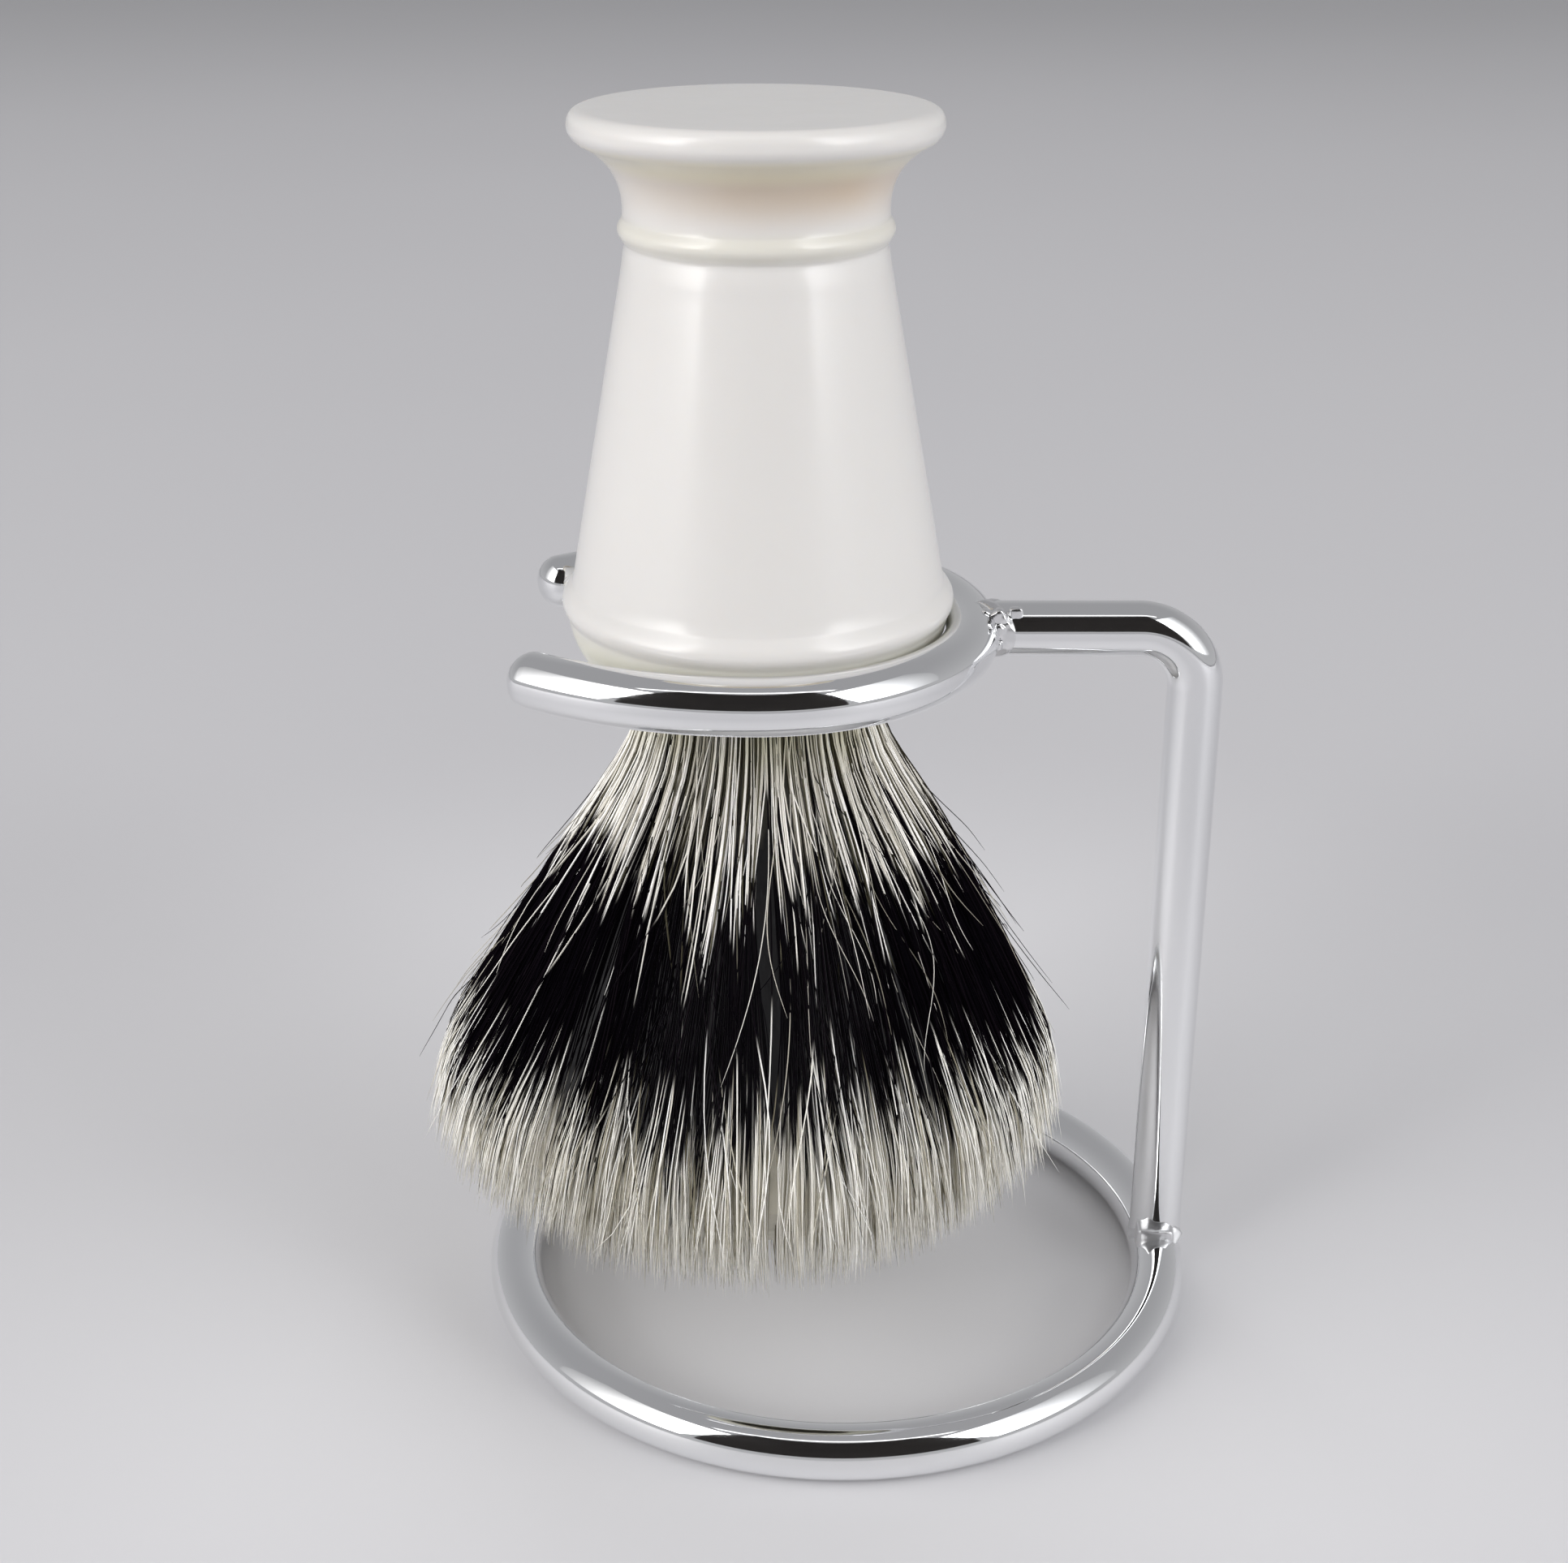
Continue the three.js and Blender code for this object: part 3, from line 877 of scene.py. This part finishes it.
def strand_mesh(name, points, radii, values, material):
    """Many thin three-sided hairs as one mesh.

    points is rings x hairs x 3, and radii is rings x hairs. So are the named values, or they are the same
    for every ring, or for every hair.
    """
    rings, hairs, _ = points.shape
    points = points.transpose(1, 0, 2)
    side, front = hair_directions(points)
    corners = []
    for angle in (math.pi / 2, math.pi * 7 / 6, math.pi * 11 / 6):
        offset = math.sin(angle) * front + math.cos(angle) * side
        corners.append(points + offset * radii.T[:, :, None])
    vertices = np.stack(corners, 2).reshape(-1, 3)
    loops, sizes = strand_faces(hairs, rings)
    mesh = bpy.data.meshes.new(name)
    mesh.vertices.add(len(vertices))
    mesh.vertices.foreach_set("co", (vertices * MM).astype(np.float32).ravel())
    mesh.loops.add(len(loops))
    mesh.loops.foreach_set("vertex_index", loops)
    mesh.polygons.add(len(sizes))
    mesh.polygons.foreach_set("loop_start", np.concatenate([[0], np.cumsum(sizes)[:-1]]).astype(np.int32))
    mesh.update(calc_edges=True)
    mesh.polygons.foreach_set("use_smooth", np.ones(len(sizes), bool))
    for key, value in values.items():
        attribute = mesh.attributes.new(key, "FLOAT", "POINT")
        spread = np.repeat(np.broadcast_to(value, (rings, hairs)).T.ravel(), 3)
        attribute.data.foreach_set("value", spread.astype(np.float32))
    mesh.materials.append(material)
    mesh.validate()
    return linked(name, mesh)


def hair_radii(depth, last_depth, thickness):
    """A hair is thin at its root, thickest in its middle and tapers to its tip."""
    t = (depth - HAIR_START) / np.maximum(last_depth - HAIR_START, 1e-6)
    body = 0.62 + 0.38 * np.sin(np.clip(t * 1.3, 0, 1) * math.pi)
    taper = np.clip((last_depth - depth) / 8, 0, 1) ** 0.6
    return thickness * body * (0.12 + 0.88 * taper)


def hair_path(hairs, root, tip):
    """Places of hairs that fan out, gather into locks, lean and sway.

    Each ease says between which depths an effect comes in, or goes.
    """
    depth, loose = hairs.depth, hairs.loose
    count = len(loose)
    hold = np.where(loose, LOOSELY_HELD, HELD)
    gather_root = ease(depth, 4, 18) * (1 - ease(depth, 24, 40)) * hold
    gather_tip = ease(depth, 24, 50) * hold
    angle = hairs.angles + (hairs.tip_angles - hairs.angles) * ease(depth, 5, 58)
    angle -= root.across * root.half * GATHER * gather_root
    angle -= tip.across * tip.half * GATHER * gather_tip
    angle += root.lean * ease(depth, 6, 30)
    radius = hairs.shares * TUFT_RADIUS / fan_radius(hairs.last_depth) * fan_radius(depth)

    wave = RNG.gamma(2.0, 0.5, count) * np.where(loose, LOOSE_SWAY, SWAY)
    sway = 0.16 * wave * ease(depth, 3, 12) * (1 + ease(depth, 12, 50))
    aside = sway * np.sin(depth / RNG.uniform(3.5, 8, count) + RNG.uniform(0, 6.3, count))
    aside += 0.22 * ease(depth, 4, 14) * np.sin(depth / 5 + root.phase)
    aside += 0.3 * ease(depth, 30, 50) * np.sin(depth / 6 + tip.phase)
    angle += aside / radius
    radius += 0.5 * sway * np.sin(depth / 8 + RNG.uniform(0, 6.3, count))
    radius += ROOT_CREST * root.crest * gather_root
    radius += TIP_CREST * tip.crest * gather_tip
    return fan_points(angle, radius, depth)


def hair_colours(hairs, root, tip):
    """How far every ring is past its hair's own band edges, and the hair's tones before and after."""
    depth, loose = hairs.depth, hairs.loose
    count = len(loose)
    root_edge = BAND_START + root.shift + ROOT_WEDGE * root.wedge * root.crest
    root_edge += RNG.exponential(1.2, count) + loose * RNG.uniform(0, 8, count)
    band_edge = BAND_END + SIDE_DROP * np.cos(hairs.angles) ** 2 + tip.shift
    band_edge += 1.2 - TIP_WEDGE * tip.wedge * tip.crest - RNG.exponential(1.2, count)
    band_edge -= loose * RNG.uniform(0, 5, count)

    # Painted shade: a part of the hairs is drawn dark, as if it lay in shade
    shaded = RNG.uniform(0, 1, count) < SHADED_PART
    root_tone = np.where(shaded, RNG.uniform(*SHADED_ROOT, count), RNG.uniform(*BRIGHT_ROOT, count))
    # Hairs darken towards their lock's edges: painted shade in the gaps between locks
    root_gap_shade = np.where(loose, 0, np.abs(root.across) ** ROOT_GAP_SHADE_POWER)
    root_tone *= (0.72 + 0.36 * root.tone) * (1 - root_gap_shade)
    tip_tone = np.where(shaded, RNG.uniform(*SHADED_TIP, count), RNG.uniform(*BRIGHT_TIP, count))
    tip_gap_shade = np.where(loose, 0, np.abs(tip.across) ** TIP_GAP_SHADE_POWER)
    tip_tone *= (0.75 + 0.3 * tip.tone) * (1 - tip_gap_shade)
    return {
        "past_root": depth - root_edge,
        "past_band": depth - band_edge,
        "root_tone": root_tone,
        "tip_tone": tip_tone,
    }


def hair_piece(name, angles, shares, first_depth, rings, material, loose_part=0.0):
    """Hairs that end on the tuft's domed end at shares of its radius, gathered into locks.

    loose_part of them lie over the others, are paler and wander more.
    """
    count = len(angles)
    loose = RNG.uniform(0, 1, count) < loose_part
    shares = np.where(loose, RNG.uniform(1.0, 1.035, count), shares)
    last_depth = dome_depth(np.minimum(shares, 1)) + RNG.normal(0, 0.8, count)
    depth = first_depth + (last_depth - first_depth) * np.linspace(0, 1, rings)[:, None]
    tip_angles = angles + RNG.normal(0, 1, count) * np.where(loose, LOOSE_DRIFT, DRIFT)
    root, tip = ROOT_LOCKS.of(angles), TIP_LOCKS.of(tip_angles)
    hairs = SimpleNamespace(
        angles=angles, tip_angles=tip_angles, shares=shares, last_depth=last_depth, depth=depth, loose=loose
    )
    points = hair_path(hairs, root, tip)
    thickness = RNG.uniform(*HAIR_RADIUS, count) * np.where(loose, 0.9, 1.0)
    radii = hair_radii(depth, last_depth, thickness)
    return strand_mesh(name, points, radii, hair_colours(hairs, root, tip), material)


def set_apart(strays, part, middle, angles, starts, lengths, lifts):
    """Draws part of the strays again, to stand clear of the outline round a middle angle."""
    count = part.stop - part.start
    strays.angles[part] = middle + RNG.uniform(*angles, count)
    strays.start[part] = RNG.uniform(*starts, count)
    strays.end[part] = strays.start[part] + RNG.uniform(*lengths, count)
    strays.lift[part] = RNG.uniform(*lifts, count)


def drawn_strays(count):
    """Strays all round, then pale wisps on the left, short dark ones and one long one on the right."""
    strays = SimpleNamespace()
    strays.angles = RNG.uniform(0, FULL_TURN, count)
    strays.start = RNG.uniform(3, 20, count)
    strays.end = strays.start + RNG.uniform(12, 28, count)
    strays.sweep = RNG.normal(0, 0.16, count)
    strays.lift = RNG.exponential(0.8, count)
    strays.pale = RNG.uniform(0, 1, count) < 0.5
    left, right, long_one = slice(0, 16), slice(16, 24), 24
    set_apart(strays, left, math.pi, (-0.55, 0.45), (17, 31), (11, 17), (1.2, 3.4))
    strays.pale[left] = RNG.uniform(0, 1, 16) < 0.75
    set_apart(strays, right, 0, (-0.4, 0.3), (18, 32), (7, 11), (0.8, 1.9))
    strays.pale[right] = False
    strays.angles[long_one], strays.sweep[long_one] = 0.02, 0.0
    strays.start[long_one], strays.end[long_one] = 21, 39.5
    strays.lift[long_one], strays.pale[long_one] = 3.4, False
    return strays


def stray_hairs(material):
    """Single hairs that cross over the others or stand off from the tuft, below the fork's reach."""
    count, rings = 170, 20
    strays = drawn_strays(count)
    t = np.linspace(0, 1, rings)[:, None]
    depth = strays.start + (strays.end - strays.start) * t
    angle = strays.angles + strays.sweep * t ** 1.6
    angle += 0.05 * np.sin(t * RNG.uniform(2, 7, count) + RNG.uniform(0, 6, count))
    radius = fan_radius(depth) + 0.1 + 0.35 * np.sin(t * math.pi)
    radius += strays.lift * t ** 1.8 * ease(depth, 13, 25)
    thickness = RNG.uniform(0.035, 0.065, count)
    radii = thickness * (0.25 + 0.75 * np.sin(np.clip(t * 0.94 + 0.06, 0, 1) * math.pi) ** 0.5)
    outside_band = 9.0
    values = {
        "past_root": np.where(strays.pale, -outside_band, outside_band),
        "past_band": -outside_band,
        "root_tone": np.where(strays.pale, RNG.uniform(0.35, 0.8, count), 0.3),
        "tip_tone": 0.5,
    }
    return strand_mesh("stray_hairs", fan_points(angle, radius, depth), radii, values, material)


CORE_SHARE, CORE_RECESS = 0.93, 3.5


def core_profile():
    """The dense inside of the tuft, which the outer hairs stand over."""
    points = [(0, -(TUFT_DEPTH - CORE_RECESS))]
    for s in np.linspace(0, 1, 16)[1:]:
        points.append((s * CORE_SHARE * TUFT_RADIUS * 0.97, -(dome_depth(s) - CORE_RECESS)))
    for depth in np.linspace(TUFT_DEPTH - DOME_DEPTH - CORE_RECESS - 1, HAIR_START, 30):
        points.append((CORE_SHARE * float(fan_radius(depth)), -depth))
    points.append((0, -HAIR_START))
    return points


def make_core():
    core = turned("hair_core", core_profile(), core_material(), DISC_SEGMENTS)
    for vertex in core.data.vertices:
        out, side = vertex.co.x - AXIS_X * MM, vertex.co.y
        share = flare(math.atan2(side, out), FORK_Z - vertex.co.z / MM)
        vertex.co.x, vertex.co.y = AXIS_X * MM + out * share, side * share
    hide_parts("hair_tuft")
    return core


SIDE_SECTORS, SIDE_HAIRS, SIDE_RINGS = 24, 220, 18
END_SECTORS, END_HAIRS, END_RINGS = 16, 280, 6
END_LENGTH = 14
LOOSE_PART = 0.05


def sectors(count):
    """Number, start and end angle of equal sectors."""
    width = FULL_TURN / count
    return [(i + 1, i * width, (i + 1) * width) for i in range(count)]


def make_hair():
    hair = hair_material()
    pieces = [stray_hairs(hair)]
    for number, low, high in sectors(SIDE_SECTORS):
        angles = RNG.uniform(low, high, SIDE_HAIRS)
        shares = 1.02 - 0.17 * RNG.uniform(0, 1, SIDE_HAIRS) ** 1.6
        name = f"side_hair_{number:02d}"
        pieces.append(hair_piece(name, angles, shares, HAIR_START, SIDE_RINGS, hair, LOOSE_PART))
    for number, low, high in sectors(END_SECTORS):
        angles = RNG.uniform(low, high, END_HAIRS)
        shares = 0.93 * np.sqrt(RNG.uniform(0, 1, END_HAIRS))
        start = dome_depth(shares) - END_LENGTH
        pieces.append(hair_piece(f"end_hair_{number:02d}", angles, shares, start, END_RINGS, hair))
    pieces.append(make_core())
    for piece in pieces:
        piece.visible_glossy = False
    return pieces


# ---- Studio ----

FLOOR_SIZE = 3500
WORLD_LOW, WORLD_HIGH, WORLD_HIGH_FROM = (0.46, 0.46, 0.47, 1), (0.345, 0.345, 0.355, 1), 0.7
LIT_CENTRE = (AXIS_X, 0, 60)
FLAG_RADIUS, FLAG_CENTRE_Z = 700, 50
FLAG_HALF_TURN, FLAG_LOW, FLAG_SPAN = math.radians(41), math.radians(6), math.radians(60)
FLAG_COLUMNS, FLAG_ROWS = 12, 10


def make_floor():
    """A pale floor, with painted light near the stand that lifts the hair's shadow."""
    n = Nodes("studio_floor")
    ground = n.mix(n.noise(3, 2), (0.45, 0.445, 0.46), (0.48, 0.475, 0.49))
    # Painted light: the floor is paler within 150 mm of the stand, against the hair's shadow
    middle = n.spread(n.distance(), 0.15, 0.03, smooth=True)
    far = n.spread(n.distance(), 0.5, 2.5, smooth=True)
    ground = n.mix(middle, ground, (0.585, 0.58, 0.595))
    n.shade(Base_Color=n.mix(far, ground, (0.60, 0.60, 0.61)), Roughness=0.6)
    size = FLOOR_SIZE
    corners = [(-size, -size, 0), (size, -size, 0), (size, size, 0), (-size, size, 0)]
    floor = mesh_object("studio_floor", corners, [(0, 1, 2, 3)], n.material)


def dim_towards_edge(data, value_range):
    """Dims a light from one side to the other, over a range of its width and brightness."""
    data.use_nodes = True
    nodes, links = data.node_tree.nodes, data.node_tree.links
    split = nodes.new("ShaderNodeSeparateXYZ")
    dim = nodes.new("ShaderNodeMapRange")
    for name, number in zip(RANGE_SOCKETS, value_range):
        dim.inputs[name].default_value = number
    steep = nodes.new("ShaderNodeMath")
    steep.operation = "POWER"
    steep.inputs[1].default_value = 3.0
    links.new(nodes.new("ShaderNodeNewGeometry").outputs["Parametric"], split.inputs[0])
    links.new(split.outputs["X"], dim.inputs["Value"])
    links.new(dim.outputs["Result"], steep.inputs[0])
    links.new(steep.outputs[0], nodes["Emission"].inputs["Strength"])


def softbox(name, azimuth, rise, distance, size, radiance, colour=(1, 1, 1), in_reflections=True):
    """A rectangular light seen from the object at an azimuth from straight ahead and a rise, in degrees."""
    turn, lift = math.radians(azimuth), math.radians(rise)
    heading = (math.sin(turn) * math.cos(lift), -math.cos(turn) * math.cos(lift), math.sin(lift))
    data = bpy.data.lights.new(name, "AREA")
    data.shape = "RECTANGLE"
    data.size, data.size_y = size[0] * MM, size[1] * MM
    data.energy = radiance * math.pi * data.size * data.size_y
    data.color = colour
    light = linked(name, data)
    light.location = [(c * distance + m) * MM for c, m in zip(heading, LIT_CENTRE)]
    light.rotation_euler = Vector(heading).to_track_quat("Z", "Y").to_euler()
    light.visible_camera = False
    light.visible_glossy = in_reflections
    return data


def make_world():
    """Light from all round, a little brighter from the horizon and below."""
    world = bpy.data.worlds.new("studio")
    world.use_nodes = True
    nodes, links = world.node_tree.nodes, world.node_tree.links
    split = nodes.new("ShaderNodeSeparateXYZ")
    sky = nodes.new("ShaderNodeValToRGB")
    low, high = sky.color_ramp.elements
    low.color, high.color, high.position = WORLD_LOW, WORLD_HIGH, WORLD_HIGH_FROM
    links.new(nodes.new("ShaderNodeTexCoord").outputs["Generated"], split.inputs[0])
    links.new(split.outputs["Z"], sky.inputs["Fac"])
    links.new(sky.outputs["Color"], nodes["Background"].inputs["Color"])
    bpy.context.scene.world = world


def make_lights():
    left = softbox("left_softbox", -68, 32, 900, (780, 800), 3.6, (1, 0.99, 0.975))
    dim_towards_edge(left, (0.0, 0.9, 0.3, 1.08))
    right = softbox("right_softbox", 68, 32, 900, (780, 800), 2.9, (0.98, 0.99, 1))
    dim_towards_edge(right, (0.1, 1.0, 1.08, 0.3))
    softbox("top_strip", 0, 73, 900, (800, 70), 1.2)
    softbox("back_softbox", 180, 45, 1100, (900, 500), 1.8, in_reflections=False)
    softbox("front_fill", 0, 24, 1000, (500, 350), 1.2, in_reflections=False)
    softbox("left_fill", -72, 19, 1800, (1700, 700), 5.5, in_reflections=False)
    softbox("right_fill", 72, 19, 1800, (1700, 700), 4.6, in_reflections=False)


def make_flag():
    """A dark screen behind the camera that only reflections see, as in a product photographer's studio."""
    n = Nodes("flag_cloth")
    n.shade(Base_Color=n.mix(n.noise(5, 2), (0.012, 0.010, 0.009), (0.02, 0.017, 0.015)), Roughness=0.9)
    vertices, faces = [], []
    for i in range(FLAG_COLUMNS + 1):
        azimuth = FLAG_HALF_TURN * (2 * i / FLAG_COLUMNS - 1) - QUARTER_TURN
        for j in range(FLAG_ROWS + 1):
            rise = FLAG_LOW + FLAG_SPAN * j / FLAG_ROWS
            vertices.append((
                AXIS_X + FLAG_RADIUS * math.cos(rise) * math.cos(azimuth),
                FLAG_RADIUS * math.cos(rise) * math.sin(azimuth),
                FLAG_CENTRE_Z + FLAG_RADIUS * math.sin(rise),
            ))
    for i in range(FLAG_COLUMNS):
        for j in range(FLAG_ROWS):
            a, b = i * (FLAG_ROWS + 1) + j, (i + 1) * (FLAG_ROWS + 1) + j
            faces.append((a, a + 1, b + 1, b))
    flag = mesh_object("studio_flag", vertices, faces, n.material)
    flag.visible_camera = False
    flag.visible_diffuse = False
    flag.visible_shadow = False


# ---- Assembly ----

def finish_pieces(pieces, body):
    for piece in pieces:
        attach(piece, body)


finish_pieces(make_stand(chrome_material()), "stand")
finish_pieces(make_welds(), "stand")

handle = turned("brush_handle", handle_profile(), resin_material())
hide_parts("handle")
finish_pieces([handle], "brush")
for inner_piece, inner_slot in make_inside():
    finish_pieces([inner_piece], "brush")
finish_pieces(make_hair(), "brush")

make_floor()
make_world()
make_lights()
make_flag()
bpy.context.scene.view_settings.view_transform = "Standard"
